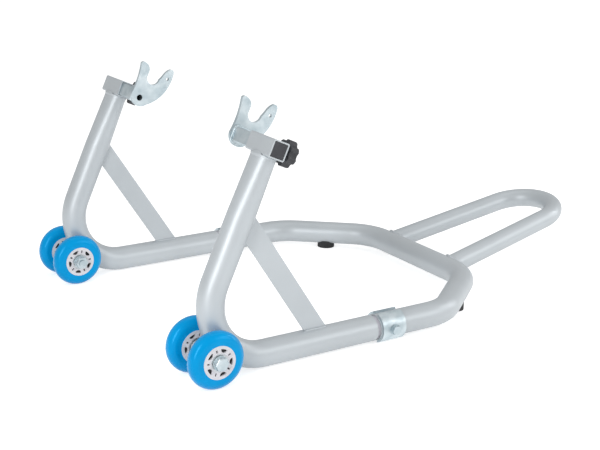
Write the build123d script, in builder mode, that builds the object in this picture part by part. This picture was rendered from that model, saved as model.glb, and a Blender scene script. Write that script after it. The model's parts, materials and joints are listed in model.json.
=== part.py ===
from build123d import *
from math import asin, atan2, cos, hypot, radians, sin, tan
import os

# Motorcycle rear paddock stand. Millimetres, +X towards the lever handle, Z up.
# The origin is the centre of the base, on the floor.

# main frame
half_track = 235.4
tube_od = 38.0
tube_wall = 2.0
bend_radius = 80.0
corner_x = -427.3
corner_z = 18.7
lower_rise_deg = 0.76
upright_lean_deg = 23.55
upright_length = 315.1
upright_taper_start = 216.0
upright_top_flat = 31.6
lower_leg_length = 302.7
brace_reach = 218.8
brace_width = 30.0
brace_thickness = 3.0

# hook socket, bar, plate and knob
socket_size = 25.0
socket_wall = 2.0
socket_length = 60.0
bar_size = 20.0
bar_wall = 2.0
bar_corner = 1.5
inner_corner = 0.5
plug_flange = 2.0
plug_depth = 14.0
plate_thickness = 5.0
plate_inner_y = 156.0
notch_radius = 11.0
drain_drop = 3.0
drain_radius = 4.8
hanging_hole = 5.0
hanging_hole_at = (48.2, 22.0)
knob_radius = 18.5
knob_height = 14.0
knob_lobes = 7
knob_scallop = 6.2
knob_scallop_ring = 21.9
knob_tip_fillet = 2.0
knob_grip = 8.4
knob_chamfer = 1.5
knob_stand_off = 25.4
stud_diameter = 8.0
nut_flats = 13.0
nut_height = 6.5
stud_tip_gap = 0.3
thread_chamfer = 0.8
thread_overhang = 2.0

# the plate's outline from the bar's centre, X towards the handle and Y up
horn_tip = [(12.6, 50.5), (9.0, 52.6), (5.0, 50.9)]
horn_back = [horn_tip[-1], (-1.3, 28.0), (-12.9, 5.5)]
lobe = [horn_back[-1], (-8.0, -13.2), (10.2, -15.4)]
belly = [lobe[-1], (43.0, 1.7), (59.4, 31.5)]
ramp_tip = [belly[-1], (57.3, 35.8), (53.3, 36.5)]
ramp = [ramp_tip[-1], (45.8, 32.5), (37.4, 24.3), (34.6, 22.1)]
notch = [ramp[-1], (24.3, 26.0 - notch_radius), (13.3, 26.0)]
bulge = [notch[-1], (16.6, 34.8), (18.3, 41.0), (16.8, 45.9), horn_tip[0]]

# axle and wheels
axle_x = -393.4
wheel_radius = 40.0
wheel_offset = 31.5
tyre_width = 23.0
tyre_edge = 11.0
hub_width = 24.0
hub_face_radius = 23.2
hub_rim_radius = 29.0
hub_rim_width = 13.0
hub_web = 6.0
window_count = 5
window_ring = 19.0
window_depth = 5.0
slot_length = 4.2
slot_width = 2.3
window_start = {"outer": -3.0, "inner": 42.0}
bearing_od = 26.0
bearing_bore = 10.0
bearing_width = 8.0
race_width = 2.0
inner_race_width = 2.5
seal_depth = 0.5
sleeve_od = 20.0
sleeve_length = 37.0
axle_diameter = 9.9
axle_flats = 17.0
axle_head_height = 6.4
axle_washer_od = 21.0
washer_od = 16.0
washer_thickness = 1.5
axle_nut_height = 8.0

# bolted joint between side tubes and rear tube
joint_gap = 5.5
joint_sleeve_wall = 2.5
joint_sleeve_length = 150.0
clamp_length = 39.5
clamp_wall = 3.5
clamp_edge_gap = 5.5
clamp_head_height = 5.3
clamp_centre_x = -97.9
rear_tube_overhang = 1.5
clamp_bolt_x = -98.0

# rear tube, handle and feet
chamfer_x = 7.8
crossbar_x = 134.7
crossbar_half = 129.8
handle_od = 32.0
handle_slope_deg = 11.9
handle_root_half = 80.0
handle_reach = 289.0
handle_end_radius = 62.0
foot_diameter = 30.0
foot_height = 12.5
foot_screw = 6.0
foot_screw_head = 11.0
foot_screw_head_height = 3.0
foot_screw_recess = 4.0
foot_screw_length = 16.0

# fits
fit_gap = 0.1
running_gap = 0.05
sleeve_gap = 0.2
bolt_gap = 0.2

socket_bore = socket_size - 2 * socket_wall
bar_bore = bar_size - 2 * bar_wall
plug_side = bar_bore - 2 * fit_gap
joint_sleeve_radius = tube_od / 2 - tube_wall - sleeve_gap
lean = radians(upright_lean_deg)
rise = radians(lower_rise_deg)
up = Vector(sin(lean), 0, cos(lean))
rearward = Vector(cos(rise), 0, sin(rise))
across = Vector(cos(lean), 0, -sin(lean))
handle_dir = Vector(cos(radians(handle_slope_deg)), 0, sin(radians(handle_slope_deg)))
sides = {"left": -1, "right": 1}
on_floor = (Align.CENTER, Align.CENTER, Align.MIN)
os.makedirs("parts", exist_ok=True)


def save(shape, name):
    shape.label = name
    export_step(shape, f"parts/{name}.step")


def on_leg(x, y):
    return Vector(x, y, corner_z + (x - corner_x) * tan(rise))


def corner(side):
    return Vector(corner_x, side * half_track, corner_z)


def socket_centre(side):
    return corner(side) + up * upright_length


def side_tube_solid(side, inset):
    """Side tube's outside, or its bore when inset is the wall."""
    base = corner(side)
    radius = tube_od / 2 - inset
    top_plane = Plane(base + up * (upright_length - socket_size / 2), Vector(0, side, 0), up)
    taper_plane = Plane(base + up * upright_taper_start, Vector(0, side, 0), up)
    top_width = tube_od + (tube_od - upright_top_flat) / 2
    with BuildPart() as solid:
        with BuildLine():
            leg_end = base + rearward * lower_leg_length
            FilletPolyline(leg_end, base, base + up * upright_taper_start, radius=bend_radius)
        with BuildSketch(Plane(leg_end, Vector(0, 1, 0), -rearward)):
            Circle(radius)
        sweep()
        with BuildSketch(taper_plane):
            Circle(radius)
        with BuildSketch(top_plane):
            Ellipse(top_width / 2 - inset, upright_top_flat / 2 - inset)
        loft()
    return solid.part


def rear_tube_solid(inset):
    start = clamp_centre_x - clamp_length / 2 - rear_tube_overhang
    front = on_leg(start, half_track)
    points = [front, on_leg(chamfer_x, half_track), on_leg(crossbar_x, crossbar_half)]
    mirrored = [Vector(p.X, -p.Y, p.Z) for p in reversed(points)]
    with BuildPart() as solid:
        with BuildLine():
            FilletPolyline(*points, *mirrored, radius=bend_radius)
        with BuildSketch(Plane(front, Vector(0, 1, 0), rearward)):
            Circle(tube_od / 2 - inset)
        sweep()
    return solid.part


def handle_solid(inset):
    """Handle's outside, or its bore: two legs that close in to a round end."""
    root = on_leg(crossbar_x, 0)
    level = Plane(root, handle_dir, Vector(-handle_dir.Z, 0, handle_dir.X))
    arc_centre = handle_reach - handle_end_radius
    diagonal = hypot(arc_centre, handle_root_half)
    leg_turn = atan2(handle_root_half, arc_centre) - asin(handle_end_radius / diagonal)
    along = arc_centre + handle_end_radius * sin(leg_turn)
    half = handle_end_radius * cos(leg_turn)
    with BuildPart() as solid:
        with BuildLine(level):
            Line((0, handle_root_half), (along, half))
            ThreePointArc((along, half), (handle_reach, 0), (along, -half))
            Line((along, -half), (0, -handle_root_half))
        start = level.from_local_coords((0, handle_root_half, 0))
        ahead = level.from_local_coords((along, half, 0)) - start
        with BuildSketch(Plane(start, level.z_dir, ahead)):
            Circle(handle_od / 2 - inset)
        sweep()
    return solid.part


def rod_y(x, y, z, radius, length):
    """A round bar along Y, centred on the point."""
    with BuildPart() as rod:
        with BuildSketch(Plane((x, y, z), (1, 0, 0), (0, 1, 0))):
            Circle(radius)
        extrude(amount=length / 2, both=True)
    return rod.part


def hex_bolt(origin, outward, flats, diameter, length, height):
    """Head outwards from the origin, shank the other way."""
    with BuildPart() as bolt:
        with BuildSketch(Plane(origin, (1, 0, 0), outward)):
            RegularPolygon(flats / 2, 6, major_radius=False)
        extrude(amount=height)
        chamfer(bolt.faces().sort_by(Axis(origin, outward))[-1].edges(), thread_chamfer)
        with BuildSketch(Plane(origin, (1, 0, 0), outward)):
            Circle(diameter / 2)
        extrude(amount=-length)
    return bolt.part


def hex_nut(origin, outward, flats, bore, height):
    with BuildPart() as nut:
        with BuildSketch(Plane(origin, (1, 0, 0), outward)):
            RegularPolygon(flats / 2, 6, major_radius=False)
            Circle(bore / 2, mode=Mode.SUBTRACT)
        extrude(amount=height)
    return nut.part


def washer(origin, outward, od, bore, thickness):
    with BuildPart() as ring:
        with BuildSketch(Plane(origin, (1, 0, 0), outward)):
            Circle(od / 2)
            Circle(bore / 2, mode=Mode.SUBTRACT)
        extrude(amount=thickness)
    return ring.part


clamp_z = on_leg(clamp_bolt_x, 0).Z
clamp_seat = tube_od / 2 + clamp_wall
bolt_bore = stud_diameter / 2 + bolt_gap
rear_outside = rear_tube_solid(0)

for hand, side in sides.items():
    side_y = side * half_track
    outward = Vector(0, side, 0)
    centre = socket_centre(side)
    outside = side_tube_solid(side, 0)

    with BuildPart() as side_tube:
        add(outside)
        add(side_tube_solid(side, tube_wall), mode=Mode.SUBTRACT)
    save(side_tube.part, f"side_tube_{hand}")

    brace_top = corner(side) + up * brace_reach
    brace_foot = corner(side) + rearward * brace_reach
    brace_run = brace_foot - brace_top
    with BuildPart() as brace:
        with BuildSketch(Plane((brace_top + brace_foot) * 0.5, brace_run.normalized(), outward)):
            Rectangle(brace_run.length, brace_width)
        extrude(amount=brace_thickness / 2, both=True)
        add(outside, mode=Mode.SUBTRACT)
    save(brace.part, f"brace_{hand}")

    with BuildPart() as axle_sleeve:
        add(rod_y(axle_x, side_y, wheel_radius, sleeve_od / 2, sleeve_length))
        add(rod_y(axle_x, side_y, wheel_radius, bearing_bore / 2, sleeve_length), mode=Mode.SUBTRACT)
        add(outside, mode=Mode.SUBTRACT)
    save(axle_sleeve.part, f"axle_sleeve_{hand}")

    with BuildPart() as hook_socket:
        with BuildSketch(Plane(centre, across, outward)):
            RectangleRounded(socket_size, socket_size, socket_wall + inner_corner)
            RectangleRounded(socket_bore, socket_bore, inner_corner, mode=Mode.SUBTRACT)
        extrude(amount=socket_length / 2, both=True)
        with BuildSketch(Plane(centre, outward, across)):
            Circle(bolt_bore)
        extrude(amount=socket_size, mode=Mode.SUBTRACT)
    save(hook_socket.part, f"hook_socket_{hand}")

    nut_seat = centre + across * (socket_size / 2)
    with BuildPart() as knob_nut:
        with BuildSketch(Plane(nut_seat, outward, across)):
            RegularPolygon(nut_flats / 2, 6, major_radius=False)
            Circle(stud_diameter / 2 + running_gap, mode=Mode.SUBTRACT)
        extrude(amount=nut_height)
    save(knob_nut.part, f"knob_nut_{hand}")

    stud_start = bar_size / 2 + stud_tip_gap
    stud_end = knob_stand_off + knob_grip
    with BuildPart() as knob_stud:
        with BuildSketch(Plane(centre + across * stud_start, outward, across)):
            Circle(stud_diameter / 2)
        extrude(amount=stud_end - stud_start)
        chamfer(knob_stud.faces().sort_by(Axis(centre, across))[0].edges(), thread_chamfer)
    save(knob_stud.part, f"knob_stud_{hand}")

    knob_plane = Plane(centre + across * knob_stand_off, outward, across)
    with BuildPart() as knob:
        with BuildSketch(knob_plane):
            Circle(knob_radius)
            with PolarLocations(knob_scallop_ring, knob_lobes):
                Circle(knob_scallop, mode=Mode.SUBTRACT)
            fillet(vertices(), knob_tip_fillet)
        extrude(amount=knob_height)
        chamfer(knob.faces().sort_by(Axis(centre, across))[-1].edges(), knob_chamfer)
        with BuildSketch(knob_plane):
            Circle(stud_diameter / 2)
        extrude(amount=stud_end - knob_stand_off, mode=Mode.SUBTRACT)
    save(knob.part, f"knob_{hand}")

    bar_inner = side * (plate_inner_y + plate_thickness)
    bar_outer = side * (half_track + socket_length / 2 - plug_flange)
    with BuildPart() as hook_bar:
        with BuildSketch(Plane((centre.X, bar_inner, centre.Z), across, outward)):
            RectangleRounded(bar_size, bar_size, bar_corner)
            RectangleRounded(bar_bore, bar_bore, inner_corner, mode=Mode.SUBTRACT)
        extrude(amount=abs(bar_outer - bar_inner))
    save(hook_bar.part, f"hook_bar_{hand}")

    with BuildPart() as bar_plug:
        with BuildSketch(Plane((centre.X, bar_outer, centre.Z), across, outward)):
            RectangleRounded(bar_size, bar_size, bar_corner)
        extrude(amount=plug_flange)
        with BuildSketch(Plane((centre.X, bar_outer, centre.Z), across, outward)):
            RectangleRounded(plug_side, plug_side, inner_corner)
        extrude(amount=-plug_depth)
    save(bar_plug.part, f"bar_plug_{hand}")

    plate_plane = Plane((centre.X, side * plate_inner_y, centre.Z), (1, 0, 0), (0, -1, 0))
    with BuildPart() as hook_plate:
        with BuildSketch(plate_plane):
            with BuildLine():
                for curve in (horn_tip, horn_back, lobe, belly, ramp_tip, notch):
                    ThreePointArc(*curve)
                for curve in (ramp, bulge):
                    Spline(*curve)
            make_face()
            with Locations((0, -drain_drop)):
                Circle(drain_radius, mode=Mode.SUBTRACT)
            with Locations(hanging_hole_at):
                Circle(hanging_hole / 2, mode=Mode.SUBTRACT)
        extrude(amount=-plate_thickness * side)
    save(hook_plate.part, f"hook_plate_{hand}")

    joint_start = corner_x + lower_leg_length * cos(rise) + joint_gap / 2 - joint_sleeve_length / 2
    sleeve_base = on_leg(joint_start, side_y)
    bolt_rod = rod_y(clamp_bolt_x, side_y, clamp_z, bolt_bore, 4 * tube_od)
    with BuildPart() as joint_sleeve:
        with BuildSketch(Plane(sleeve_base, (0, 1, 0), rearward)):
            Circle(joint_sleeve_radius)
            Circle(joint_sleeve_radius - joint_sleeve_wall, mode=Mode.SUBTRACT)
        extrude(amount=joint_sleeve_length)
        add(bolt_rod, mode=Mode.SUBTRACT)
    save(joint_sleeve.part, f"joint_sleeve_{hand}")

    clamp_base = on_leg(clamp_centre_x, side_y)
    for role, face in {"outer": side, "inner": -side}.items():
        with BuildPart() as clamp:
            with BuildSketch(Plane(clamp_base, (0, 1, 0), rearward)):
                Circle(clamp_seat)
                Circle(tube_od / 2, mode=Mode.SUBTRACT)
                with Locations((-face * (tube_od - clamp_edge_gap), 0)):
                    Rectangle(2 * tube_od, 4 * tube_od, mode=Mode.SUBTRACT)
            extrude(amount=clamp_length / 2, both=True)
            add(bolt_rod, mode=Mode.SUBTRACT)
        save(clamp.part, f"clamp_{role}_{hand}")

    head_seat = Vector(clamp_bolt_x, side_y + side * clamp_seat, clamp_z)
    bolt_length = 2 * clamp_seat + 2 * washer_thickness + nut_height + thread_overhang
    head_point = head_seat + outward * washer_thickness
    clamp_bolt = hex_bolt(head_point, outward, nut_flats, stud_diameter, bolt_length, clamp_head_height)
    save(clamp_bolt, f"clamp_bolt_{hand}")
    inner_seat = Vector(clamp_bolt_x, side_y - side * clamp_seat, clamp_z)
    nut_point = inner_seat - outward * washer_thickness
    clamp_nut = hex_nut(nut_point, -outward, nut_flats, stud_diameter + 2 * fit_gap, nut_height)
    save(clamp_nut, f"clamp_nut_{hand}")
    with BuildPart() as clamp_washers:
        add(washer(head_seat, outward, washer_od, 2 * bolt_bore, washer_thickness))
        add(washer(inner_seat, -outward, washer_od, 2 * bolt_bore, washer_thickness))
    save(clamp_washers.part, f"clamp_washers_{hand}")

    hub_outer = wheel_offset + hub_width / 2
    axle_length = 2 * hub_outer + 2 * washer_thickness + axle_nut_height + thread_overhang
    head_point = Vector(axle_x, side_y + side * (hub_outer + washer_thickness), wheel_radius)
    axle_bolt = hex_bolt(head_point, outward, axle_flats, axle_diameter, axle_length, axle_head_height)
    save(axle_bolt, f"axle_bolt_{hand}")
    nut_point = Vector(axle_x, side_y - side * (hub_outer + washer_thickness), wheel_radius)
    axle_nut = hex_nut(nut_point, -outward, axle_flats, axle_diameter + 2 * fit_gap, axle_nut_height)
    save(axle_nut, f"axle_nut_{hand}")
    with BuildPart() as axle_washers:
        for offset in (-hub_outer, hub_outer):
            face = Vector(0, 1 if offset > 0 else -1, 0)
            seat = Vector(axle_x, side_y + offset, wheel_radius)
            add(washer(seat, face, axle_washer_od, bearing_bore + 2 * bolt_gap, washer_thickness))
            inner = Vector(axle_x, side_y + (sleeve_length / 2) * face.Y, wheel_radius)
            gap = wheel_offset - hub_width / 2 - sleeve_length / 2
            add(washer(inner, face, axle_washer_od, bearing_bore + 2 * bolt_gap, gap))
    save(axle_washers.part, f"axle_washers_{hand}")

    for role, face in {"outer": side, "inner": -side}.items():
        wheel_centre = Vector(axle_x, side_y + face * wheel_offset, wheel_radius)
        profile = Plane(wheel_centre, (0, 1, 0), (-1, 0, 0))
        turn = Axis(wheel_centre, (0, 1, 0))
        half_hub = hub_width / 2
        with BuildPart() as tyre:
            with BuildSketch(profile):
                with Locations((0, (wheel_radius + hub_face_radius) / 2)):
                    Rectangle(tyre_width, wheel_radius - hub_face_radius)
                fillet(vertices().group_by(Axis.Y)[-1], tyre_edge)
                with Locations((0, (hub_rim_radius + hub_face_radius) / 2)):
                    Rectangle(hub_rim_width, hub_rim_radius - hub_face_radius, mode=Mode.SUBTRACT)
            revolve(axis=turn)
        save(tyre.part, f"tyre_{role}_{hand}")

        with BuildPart() as hub:
            add(rod_y(*wheel_centre, hub_face_radius, hub_width))
            add(rod_y(*wheel_centre, hub_rim_radius, hub_rim_width))
            for way in (-1, 1):
                face_plane = Plane(wheel_centre + Vector(0, way * half_hub, 0), (1, 0, 0), (0, -1, 0))
                with BuildSketch(face_plane):
                    with PolarLocations(window_ring, window_count, start_angle=window_start[role]):
                        Circle(window_depth)
                    Circle(window_ring, mode=Mode.INTERSECT)
                    slot_ring = window_ring - window_depth / 2
                    slot_start = window_start[role] + 180 / window_count
                    with PolarLocations(slot_ring, window_count, start_angle=slot_start):
                        Rectangle(slot_length, slot_width)
                extrude(amount=way * (half_hub - hub_web / 2), mode=Mode.SUBTRACT)
                with BuildSketch(face_plane):
                    Circle(bearing_od / 2)
                extrude(amount=way * bearing_width, mode=Mode.SUBTRACT)
            add(rod_y(*wheel_centre, bearing_od / 2 - race_width, hub_width), mode=Mode.SUBTRACT)
        save(hub.part, f"hub_{role}_{hand}")

        with BuildPart() as bearings:
            for way in (-1, 1):
                bearing_y = way * (half_hub - bearing_width / 2)
                middle = wheel_centre + Vector(0, bearing_y, 0)
                add(rod_y(*middle, bearing_od / 2, bearing_width))
            add(rod_y(*wheel_centre, bearing_bore / 2, hub_width), mode=Mode.SUBTRACT)
            for way in (-1, 1):
                for depth in (half_hub, half_hub - bearing_width):
                    groove = Plane(wheel_centre + Vector(0, way * depth, 0), (1, 0, 0), (0, 1, 0))
                    with BuildSketch(groove):
                        Circle(bearing_od / 2 - race_width)
                        Circle(bearing_bore / 2 + inner_race_width, mode=Mode.SUBTRACT)
                    extrude(amount=seal_depth, both=True, mode=Mode.SUBTRACT)
        save(bearings.part, f"bearings_{role}_{hand}")

        with BuildPart() as spacer:
            add(rod_y(*wheel_centre, bearing_bore / 2 + race_width, hub_width - 2 * bearing_width))
            add(rod_y(*wheel_centre, bearing_bore / 2 + fit_gap, hub_width), mode=Mode.SUBTRACT)
        save(spacer.part, f"bearing_spacer_{role}_{hand}")

foot_x = (chamfer_x + crossbar_x) / 2
foot_y = (half_track + crossbar_half) / 2
foot_top = foot_screw_recess + foot_screw_length
with BuildPart() as rear_tube:
    add(rear_outside)
    add(rear_tube_solid(tube_wall), mode=Mode.SUBTRACT)
    for side in sides.values():
        add(rod_y(clamp_bolt_x, side * half_track, clamp_z, bolt_bore, 2 * tube_od), mode=Mode.SUBTRACT)
        with Locations((foot_x, side * foot_y, 0)):
            Cylinder(foot_screw / 2 + fit_gap, foot_top, mode=Mode.SUBTRACT, align=on_floor)
save(rear_tube.part, "rear_tube")

with BuildPart() as handle_tube:
    add(handle_solid(0))
    add(handle_solid(tube_wall), mode=Mode.SUBTRACT)
    add(rod_y(*on_leg(crossbar_x, 0), tube_od / 2, 4 * crossbar_half), mode=Mode.SUBTRACT)
save(handle_tube.part, "handle_tube")

for hand, side in sides.items():
    with BuildPart() as foot_pad:
        with Locations((foot_x, side * foot_y, 0)):
            Cylinder(foot_diameter / 2, foot_height, align=on_floor)
            Cylinder(foot_screw_head / 2 + bolt_gap, foot_screw_recess, mode=Mode.SUBTRACT, align=on_floor)
            Cylinder(foot_screw / 2 + bolt_gap, foot_height, mode=Mode.SUBTRACT, align=on_floor)
        add(rear_outside, mode=Mode.SUBTRACT)
    save(foot_pad.part, f"foot_pad_{hand}")

    with BuildPart() as foot_screw_solid:
        with Locations((foot_x, side * foot_y, foot_screw_recess - foot_screw_head_height)):
            Cylinder(foot_screw_head / 2, foot_screw_head_height, align=on_floor)
            Cylinder(foot_screw / 2, foot_screw_length, align=on_floor)
    save(foot_screw_solid.part, f"foot_screw_{hand}")
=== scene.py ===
"""Rear paddock stand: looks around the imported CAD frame."""

import json
import math

import bmesh
import bpy
from mathutils import Matrix, Vector


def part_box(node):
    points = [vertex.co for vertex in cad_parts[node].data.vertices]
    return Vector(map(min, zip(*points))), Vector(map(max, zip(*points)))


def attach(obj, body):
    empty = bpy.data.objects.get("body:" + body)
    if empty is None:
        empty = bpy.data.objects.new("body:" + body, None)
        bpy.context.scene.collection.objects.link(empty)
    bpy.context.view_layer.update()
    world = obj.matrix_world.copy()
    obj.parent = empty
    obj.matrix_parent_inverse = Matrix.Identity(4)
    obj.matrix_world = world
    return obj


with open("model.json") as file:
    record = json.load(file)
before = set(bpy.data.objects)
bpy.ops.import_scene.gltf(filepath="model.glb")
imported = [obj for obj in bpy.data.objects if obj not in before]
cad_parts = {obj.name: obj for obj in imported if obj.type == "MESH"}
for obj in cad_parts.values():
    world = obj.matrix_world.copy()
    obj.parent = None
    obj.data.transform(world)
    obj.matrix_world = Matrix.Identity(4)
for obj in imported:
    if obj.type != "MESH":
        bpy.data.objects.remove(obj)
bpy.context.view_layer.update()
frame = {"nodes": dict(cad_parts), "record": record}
nodes = frame["nodes"]
joints = {joint["name"]: joint for joint in frame["record"]["behaviour"]["joints"]}
SIDES = {"left": -1, "right": 1}
UP = Vector((0, 0, 1))

# sizes of the CAD pieces that the welds follow, in metres and radians
TUBE_R = 0.0190
HANDLE_R = 0.0160
BAR_HALF = 0.0100
SOCKET_HALF = 0.0125
NUT_RADIUS = 0.0076
UPRIGHT_LENGTH = 0.3151
BRACE_REACH = 0.2188
BRACE_WIDTH = 0.0300
LOWER_RISE = math.radians(0.76)
HANDLE_SLOPE = math.radians(11.9)
HANDLE_ROOT = 0.0800
# sideways run of a handle leg for each unit along the handle
HANDLE_CLOSING = 0.0784

# weld beads: radius at each place, ripple length and depth, points round one ring
PLATE_BEAD = 0.0019
NUT_BEAD = 0.0012
BRACE_BEAD = 0.0014
HANDLE_BEAD = 0.0024
RIPPLE = 0.0026
RIPPLE_STEPS = 4
RIPPLE_DEPTH = 0.10
BEAD_POINTS = 10
# an open bead starts at this share of its width and gains this much per ring
BEAD_END = 0.35
BEAD_GAIN = 0.25

# dark disc inside a wheel's hub, painted shade seen through its windows
SHADE_DISC_INNER = 0.0138
SHADE_DISC_OUTER = 0.0194
SHADE_DISC_HALF = 0.0095

# studio
WHITE = (1, 1, 1, 1)
FILL_STRENGTH = 0.58
FLOOR_HALF = 12.0
PAPER_COLOUR = (0.80, 0.80, 0.80, 1)
PAPER_LIFT = 0.62
CAMERA_PLACE = (-1.0831, -1.5556, 0.6584)
CAMERA_YAW = math.radians(32.291)
CAMERA_PITCH = math.radians(16.565)
CAMERA_ROLL = math.radians(1.262)
CAMERA_LENS = 72.90
CAMERA_SENSOR = 36


# ---------------------------------------------------------------- materials


def linear(r, g, b):
    """8-bit display colour to the scene's linear values."""
    out = []
    for value in (r, g, b):
        v = value / 255
        out.append(v / 12.92 if v <= 0.04045 else ((v + 0.055) / 1.055) ** 2.4)
    return (*out, 1.0)


class Shader:
    """A material with one Principled shader and short helpers for its nodes."""

    def __init__(self, name, metallic=0.0, tint=WHITE):
        self.material = bpy.data.materials.new(name)
        self.material.use_nodes = True
        self.tree = self.material.node_tree
        self.bsdf = self.tree.nodes["Principled BSDF"]
        self.bsdf.inputs["Metallic"].default_value = metallic
        self.bsdf.inputs["Specular Tint"].default_value = tint
        self.coords = self.tree.nodes.new("ShaderNodeTexCoord").outputs["Object"]

    def noise(self, scale, detail=4.0, stretch=(1, 1, 1)):
        mapping = self.tree.nodes.new("ShaderNodeMapping")
        mapping.inputs["Scale"].default_value = stretch
        self.tree.links.new(self.coords, mapping.inputs["Vector"])
        node = self.tree.nodes.new("ShaderNodeTexNoise")
        node.inputs["Scale"].default_value = scale
        node.inputs["Detail"].default_value = detail
        self.tree.links.new(mapping.outputs["Vector"], node.inputs["Vector"])
        return node.outputs["Fac"]

    def ramp(self, source, low, high, start=0.35, end=0.65):
        node = self.tree.nodes.new("ShaderNodeValToRGB")
        node.color_ramp.elements[0].position = start
        node.color_ramp.elements[0].color = low
        node.color_ramp.elements[1].position = end
        node.color_ramp.elements[1].color = high
        self.tree.links.new(source, node.inputs["Fac"])
        return node.outputs["Color"]

    def colour(self, source, low, high, start=0.35, end=0.65):
        mixed = self.ramp(source, low, high, start, end)
        self.tree.links.new(mixed, self.bsdf.inputs["Base Color"])

    def rough(self, source, low, high):
        node = self.tree.nodes.new("ShaderNodeMapRange")
        node.inputs["From Min"].default_value = 0.3
        node.inputs["From Max"].default_value = 0.7
        node.inputs["To Min"].default_value = low
        node.inputs["To Max"].default_value = high
        self.tree.links.new(source, node.inputs["Value"])
        self.tree.links.new(node.outputs["Result"], self.bsdf.inputs["Roughness"])

    def bump(self, source, strength, distance):
        node = self.tree.nodes.new("ShaderNodeBump")
        node.inputs["Strength"].default_value = strength
        node.inputs["Distance"].default_value = distance
        self.tree.links.new(source, node.inputs["Height"])
        self.tree.links.new(node.outputs["Normal"], self.bsdf.inputs["Normal"])


def frame_paint():
    """Satin silver-grey powder coat with fine orange peel."""
    shader = Shader("frame_paint", metallic=0.35)
    shader.colour(shader.noise(9), linear(186, 192, 196), linear(192, 198, 202))
    shader.rough(shader.noise(60), 0.42, 0.46)
    shader.bump(shader.noise(900, 2), 0.05, 0.0002)
    return shader.material


def sleeve_paint():
    """Smooth light grey paint on the axle sleeves."""
    shader = Shader("sleeve_paint")
    shader.colour(shader.noise(40), linear(186, 184, 194), linear(198, 197, 204))
    shader.rough(shader.noise(120), 0.35, 0.5)
    return shader.material


def zinc():
    """Bluish bright zinc: cloudy spangle with fine drawn lines."""
    shader = Shader("zinc", metallic=0.85)
    shader.colour(shader.noise(55, 6), linear(176, 190, 196), linear(204, 214, 218))
    shader.rough(shader.noise(140, 5, (1, 4, 1)), 0.36, 0.54)
    shader.bump(shader.noise(420, 3, (1, 6, 1)), 0.08, 0.0004)
    return shader.material


def blue_tyre():
    """Cast polyurethane, glossy, a little deeper where it is thick."""
    shader = Shader("blue_tyre", tint=(0.15, 0.65, 1, 1))
    shader.colour(shader.noise(24), linear(0, 149, 213), linear(0, 156, 222))
    shader.rough(shader.noise(80), 0.20, 0.26)
    shader.bump(shader.noise(260, 3), 0.05, 0.0004)
    return shader.material


def hub_grey():
    """Pale moulded plastic with a faint grain."""
    shader = Shader("hub_grey")
    shader.colour(shader.noise(60), linear(214, 213, 218), linear(226, 225, 230))
    shader.rough(shader.noise(200), 0.32, 0.46)
    shader.bump(shader.noise(700, 2), 0.08, 0.0003)
    return shader.material


def bearing_steel():
    """Ground steel, nearly even."""
    shader = Shader("bearing_steel", metallic=0.9)
    shader.colour(shader.noise(90), linear(170, 174, 178), linear(196, 200, 203))
    shader.rough(shader.noise(300), 0.22, 0.36)
    return shader.material


def black_plastic():
    """Moulded plastic with a fine spark-eroded grain."""
    shader = Shader("black_plastic")
    shader.colour(shader.noise(40), linear(42, 43, 48), linear(56, 57, 62))
    shader.rough(shader.noise(150), 0.42, 0.58)
    shader.bump(shader.noise(1500, 2), 0.25, 0.0003)
    return shader.material


def foot_rubber():
    """Dull black rubber, uneven all over."""
    shader = Shader("foot_rubber")
    shader.colour(shader.noise(70), linear(30, 31, 33), linear(46, 47, 49))
    shader.rough(shader.noise(200), 0.65, 0.85)
    shader.bump(shader.noise(900, 3), 0.3, 0.0004)
    return shader.material


MAKERS = (
    frame_paint,
    sleeve_paint,
    zinc,
    blue_tyre,
    hub_grey,
    bearing_steel,
    black_plastic,
    foot_rubber,
)
finishes = {maker.__name__: maker() for maker in MAKERS}
slot_of = {part["node"]: part["material_slot"] for part in frame["record"]["subparts"]}
for name, node in nodes.items():
    node.data.materials.clear()
    node.data.materials.append(finishes[slot_of[name]])


# ---------------------------------------------------------------- added pieces


def add_mesh(name, verts, faces, body, slot):
    """A smooth piece that rides a body and wears the finish of a slot."""
    mesh = bpy.data.meshes.new(name)
    mesh.from_pydata([tuple(v) for v in verts], [], faces)
    mesh.materials.append(finishes[slot])
    for polygon in mesh.polygons:
        polygon.use_smooth = True
    piece = bpy.data.objects.new(name, mesh)
    bpy.context.collection.objects.link(piece)
    work = bmesh.new()
    work.from_mesh(mesh)
    bmesh.ops.recalc_face_normals(work, faces=work.faces)
    work.to_mesh(mesh)
    work.free()
    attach(piece, body)


def around(count):
    """Cosine and sine of evenly spaced angles round a circle."""
    return [(math.cos(math.tau * k / count), math.sin(math.tau * k / count)) for k in range(count)]


def strip_faces(rings, per_ring, closed):
    """Quads between neighbouring rings of per_ring points."""
    faces = []
    for k in range(rings if closed else rings - 1):
        here, there = k * per_ring, (k + 1) % rings * per_ring
        for turn in range(per_ring):
            beside = (turn + 1) % per_ring
            faces.append((here + turn, here + beside, there + beside, there + turn))
    return faces


def resample(points, step, closed):
    """Points spaced evenly along a polyline."""
    ring = points + [points[0]] if closed else points
    lengths = [(b - a).length for a, b in zip(ring, ring[1:])]
    total = sum(lengths)
    count = max(4, round(total / step))
    out, index, passed = [], 0, 0.0
    for k in range(count + (0 if closed else 1)):
        target = total * k / count
        while index < len(lengths) - 1 and passed + lengths[index] < target:
            passed += lengths[index]
            index += 1
        share = (target - passed) / lengths[index]
        out.append(ring[index].lerp(ring[index + 1], min(1.0, share)))
    return out


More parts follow.
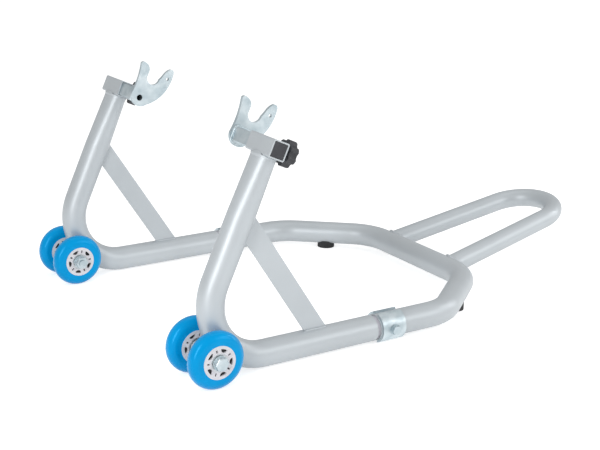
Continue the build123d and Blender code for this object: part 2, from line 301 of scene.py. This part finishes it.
def bead(name, points, radius, body, slot="frame_paint", closed=True):
    """A weld bead: a round fillet with small ripples that follows the points."""
    path = resample(points, RIPPLE / RIPPLE_STEPS, closed)
    verts, count = [], len(path)
    for k, point in enumerate(path):
        ahead = path[(k + 1) % count] if closed or k < count - 1 else path[k]
        behind = path[k - 1] if closed or k > 0 else path[k]
        tangent = (ahead - behind).normalized()
        side = tangent.cross(UP if abs(tangent.z) < 0.9 else Vector((1, 0, 0))).normalized()
        normal = side.cross(tangent)
        taper = 1.0 if closed else min(1.0, BEAD_END + BEAD_GAIN * min(k, count - 1 - k))
        wave = math.sin(math.tau * k / RIPPLE_STEPS)
        width = radius * taper * (1 + RIPPLE_DEPTH * wave)
        for c, s in around(BEAD_POINTS):
            verts.append(point + (side * c + normal * s) * width)
    faces = strip_faces(count, BEAD_POINTS, closed)
    if not closed:
        faces.append(tuple(range(BEAD_POINTS)))
        faces.append(tuple(range((count - 1) * BEAD_POINTS, count * BEAD_POINTS)))
    add_mesh(name, verts, faces, body, slot)


def plate_weld(hand, side, heart, across, lift):
    """Square bead where the bar meets the hook plate."""
    plate_low, plate_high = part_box("hook_plate_" + hand)
    plate_y = plate_high[1] if side > 0 else plate_low[1]
    stand_off, corner_inset, corner_radius, corner_steps = 0.0006, 0.0020, 0.0026, 4
    seat = Vector((heart.x, plate_y + side * stand_off, heart.z))
    straight = BAR_HALF - corner_inset
    ring = []
    for quarter in range(4):
        diagonal = math.pi / 2 * (quarter + 0.5)
        corner_x = math.copysign(straight, math.cos(diagonal))
        corner_y = math.copysign(straight, math.sin(diagonal))
        for step in range(corner_steps + 1):
            angle = math.pi / 2 * (quarter + step / corner_steps)
            x = corner_x + corner_radius * math.cos(angle)
            y = corner_y + corner_radius * math.sin(angle)
            ring.append(seat + across * x + lift * y)
    bead("weld_plate_" + hand, ring, PLATE_BEAD, "hook_" + hand, "zinc")


def socket_weld(hand, heart, across, beam, lift):
    """Collar where the narrowed upright meets the underside of the socket."""
    half_x, half_y, rounds = 0.0163, 0.0203, 64
    # height under the socket and growth past the half widths, ring by ring
    levels = ((-0.0040, -0.0004), (-0.0018, 0.0004), (0.0, 0.0006))
    # the last ring draws in, sinks into the socket and climbs its two sides
    draw_in, sink, climb = 0.0004, 0.0002, 0.0045
    under = heart - lift * SOCKET_HALF
    verts = []
    for height, grow in levels:
        for c, s in around(rounds):
            level = across * c * (half_x + grow) + beam * s * (half_y + grow)
            verts.append(under + level + lift * height)
    for c, s in around(rounds):
        x, height = c * half_x, sink
        if abs(x) > SOCKET_HALF:
            height = climb * (abs(x) - SOCKET_HALF) / (half_x - SOCKET_HALF)
            x = math.copysign(SOCKET_HALF - sink, c)
        verts.append(under + across * x + beam * s * (half_y - draw_in) + lift * height)
    faces = strip_faces(len(levels) + 1, rounds, False)
    add_mesh("weld_socket_" + hand, verts, faces, "frame", "frame_paint")


def nut_weld(hand, heart, across, beam, lift):
    """Ring round the foot of the knob's nut."""
    sunk, rounds = 0.0005, 24
    seat = heart + across * (SOCKET_HALF + sunk)
    ring = [seat + (beam * c + lift * s) * NUT_RADIUS for c, s in around(rounds)]
    bead("weld_nut_" + hand, ring, NUT_BEAD, "frame")


def brace_welds(hand, heart, across, lift):
    """Straight beads on both faces and both ends of the brace."""
    overrun, stand_off = 0.0004, 0.0009
    low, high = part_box("brace_" + hand)
    corner = Vector((heart.x, 0, heart.z)) - lift * UPRIGHT_LENGTH
    rearward = Vector((math.cos(LOWER_RISE), 0, math.sin(LOWER_RISE)))
    upward = Vector((-rearward.z, 0, rearward.x))
    meeting = (math.pi - lift.angle(rearward)) / 2
    half_bead = BRACE_WIDTH / 2 / math.sin(meeting) + overrun
    for label, along, inward in (("top", lift, across), ("foot", rearward, upward)):
        middle = corner + along * (BRACE_REACH - TUBE_R / math.tan(meeting)) + inward * TUBE_R
        for place, y in (("low", low[1] - stand_off), ("high", high[1] + stand_off)):
            middle.y = y
            ends = [middle - along * half_bead, middle + along * half_bead]
            name = f"weld_brace_{label}_{place}_{hand}"
            bead(name, ends, BRACE_BEAD, "frame", closed=False)


def handle_weld(hand, side, crossbar):
    """Ring where one leg of the handle meets the rear tube's crossbar."""
    rounds, off_leg, off_bar = 72, 0.0008, 0.0006
    root = crossbar + Vector((0, side * HANDLE_ROOT, 0))
    run = Vector((math.cos(HANDLE_SLOPE), -side * HANDLE_CLOSING, math.sin(HANDLE_SLOPE)))
    run.normalize()
    flat = Vector((run.x, 0, run.z))
    first = run.cross(Vector((0, 1, 0))).normalized()
    second = run.cross(first)
    ring = []
    for c, s in around(rounds):
        offset = (first * c + second * s) * (HANDLE_R + off_leg)
        base = Vector((offset.x, 0, offset.z))
        # distance along the leg at which this line leaves the crossbar's surface
        a, b = flat.dot(flat), 2 * base.dot(flat)
        rest = base.dot(base) - (TUBE_R + off_bar) ** 2
        distance = (-b + math.sqrt(b * b - 4 * a * rest)) / (2 * a)
        ring.append(root + offset + run * distance)
    bead("weld_handle_" + hand, ring, HANDLE_BEAD, "frame")


def hub_shade_disc(role, hand):
    """Dark disc that paints the shade seen through a wheel's windows."""
    rounds = 60
    low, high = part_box(f"hub_{role}_{hand}")
    middle = (Vector(low) + Vector(high)) / 2
    profile = (
        (SHADE_DISC_INNER, -SHADE_DISC_HALF),
        (SHADE_DISC_OUTER, -SHADE_DISC_HALF),
        (SHADE_DISC_OUTER, SHADE_DISC_HALF),
        (SHADE_DISC_INNER, SHADE_DISC_HALF),
    )
    verts = []
    for c, s in around(rounds):
        for radius, y in profile:
            verts.append(middle + Vector((radius * c, y, radius * s)))
    faces = strip_faces(rounds, len(profile), True)
    # the dark rubber finish on this disc is painted shade for the hub's deep windows
    add_mesh(f"hub_shade_disc_{role}_{hand}", verts, faces, f"wheel_{role}_{hand}", "foot_rubber")


rear_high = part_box("rear_tube")[1]
crossbar = Vector((rear_high[0] - TUBE_R, 0, rear_high[2] - TUBE_R))
for hand, side in SIDES.items():
    knob = joints["knob_turn_" + hand]
    heart = Vector(knob["pos_m"])
    across = Vector(knob["axis"]).normalized()
    lift = Vector((-across.z, 0, across.x))
    beam = Vector((0, side, 0))
    plate_weld(hand, side, heart, across, lift)
    socket_weld(hand, heart, across, beam, lift)
    nut_weld(hand, heart, across, beam, lift)
    brace_welds(hand, heart, across, lift)
    handle_weld(hand, side, crossbar)
    for role in ("outer", "inner"):
        hub_shade_disc(role, hand)


# ---------------------------------------------------------------- studio


def ray_switch(tree, plain, seen, rays):
    """Shader 'seen' for the named kinds of ray, 'plain' for all others."""
    path = tree.nodes.new("ShaderNodeLightPath")
    share = path.outputs[rays[0]]
    for ray in rays[1:]:
        either = tree.nodes.new("ShaderNodeMath")
        either.operation = "MAXIMUM"
        tree.links.new(share, either.inputs[0])
        tree.links.new(path.outputs[ray], either.inputs[1])
        share = either.outputs[0]
    mix = tree.nodes.new("ShaderNodeMixShader")
    tree.links.new(share, mix.inputs["Fac"])
    tree.links.new(plain, mix.inputs[1])
    tree.links.new(seen, mix.inputs[2])
    return mix.outputs["Shader"]


def glow(tree, kind, strength):
    """Output of a plain white background or emission node."""
    node = tree.nodes.new(kind)
    node.inputs["Color"].default_value = WHITE
    node.inputs["Strength"].default_value = strength
    return node.outputs[0]


def build_world():
    """Soft even fill, with plain white where the camera sees past everything."""
    world = bpy.data.worlds.new("studio")
    bpy.context.scene.world = world
    world.use_nodes = True
    tree = world.node_tree
    tree.nodes.clear()
    fill = glow(tree, "ShaderNodeBackground", FILL_STRENGTH)
    backdrop = glow(tree, "ShaderNodeBackground", 1.0)
    output = tree.nodes.new("ShaderNodeOutputWorld")
    mixed = ray_switch(tree, fill, backdrop, ("Is Camera Ray",))
    tree.links.new(mixed, output.inputs["Surface"])


def paper():
    """Pale floor that looks white but keeps the shadows."""
    material = bpy.data.materials.new("paper")
    material.use_nodes = True
    tree = material.node_tree
    tree.nodes.clear()
    plain = tree.nodes.new("ShaderNodeBsdfDiffuse")
    plain.inputs["Color"].default_value = PAPER_COLOUR
    lifted = tree.nodes.new("ShaderNodeAddShader")
    tree.links.new(plain.outputs[0], lifted.inputs[0])
    tree.links.new(glow(tree, "ShaderNodeEmission", PAPER_LIFT), lifted.inputs[1])
    output = tree.nodes.new("ShaderNodeOutputMaterial")
    rays = ("Is Camera Ray", "Is Glossy Ray", "Is Transmission Ray")
    mixed = ray_switch(tree, plain.outputs[0], lifted.outputs[0], rays)
    tree.links.new(mixed, output.inputs["Surface"])
    return material


def build_floor():
    mesh = bpy.data.meshes.new("floor")
    signs = ((-1, -1), (1, -1), (1, 1), (-1, 1))
    corners = [(x * FLOOR_HALF, y * FLOOR_HALF, 0) for x, y in signs]
    mesh.from_pydata(corners, [], [(0, 1, 2, 3)])
    mesh.materials.append(paper())
    floor = bpy.data.objects.new("floor", mesh)
    bpy.context.collection.objects.link(floor)


def lamp(name, place, target, size, watts):
    """Rectangular lamp at a place, facing a target."""
    data = bpy.data.lights.new(name, "AREA")
    data.shape = "RECTANGLE"
    data.size, data.size_y = size
    data.energy = watts
    light = bpy.data.objects.new(name, data)
    light.location = place
    light.rotation_mode = "QUATERNION"
    light.rotation_quaternion = (Vector(target) - Vector(place)).to_track_quat("-Z", "Y")
    bpy.context.collection.objects.link(light)


def build_camera():
    """Camera from its place, its yaw, pitch and roll, and its lens."""
    yaw, pitch, roll = CAMERA_YAW, CAMERA_PITCH, CAMERA_ROLL
    ahead = math.cos(pitch)
    forward = Vector((math.sin(yaw) * ahead, math.cos(yaw) * ahead, -math.sin(pitch)))
    level_right = Vector((math.cos(yaw), -math.sin(yaw), 0))
    level_up = level_right.cross(forward)
    right = level_right * math.cos(roll) + level_up * math.sin(roll)
    top = level_up * math.cos(roll) - level_right * math.sin(roll)
    data = bpy.data.cameras.new("camera")
    data.sensor_width = CAMERA_SENSOR
    data.lens = CAMERA_LENS
    camera = bpy.data.objects.new("camera", data)
    bpy.context.collection.objects.link(camera)
    turn = Matrix((right, top, -forward)).transposed()
    camera.matrix_world = Matrix.Translation(CAMERA_PLACE) @ turn.to_4x4()
    bpy.context.scene.camera = camera


build_world()
build_floor()
lamp("streak_left", (-1.60, -1.00, 0.75), (-0.3, 0, 0.2), (0.42, 1.2), 13)
lamp("soft_right", (1.2, -2.1, 1.2), (0, 0, 0.1), (1.6, 1.2), 14)
lamp("rim_right", (1.5, -0.5, 0.7), (0.1, -0.15, 0.03), (0.3, 1.0), 5)
lamp("top_strip", (0.4, 0.3, 2.4), (0, 0, 0), (2.2, 1.4), 5)
build_camera()
bpy.context.scene.view_settings.view_transform = "Standard"
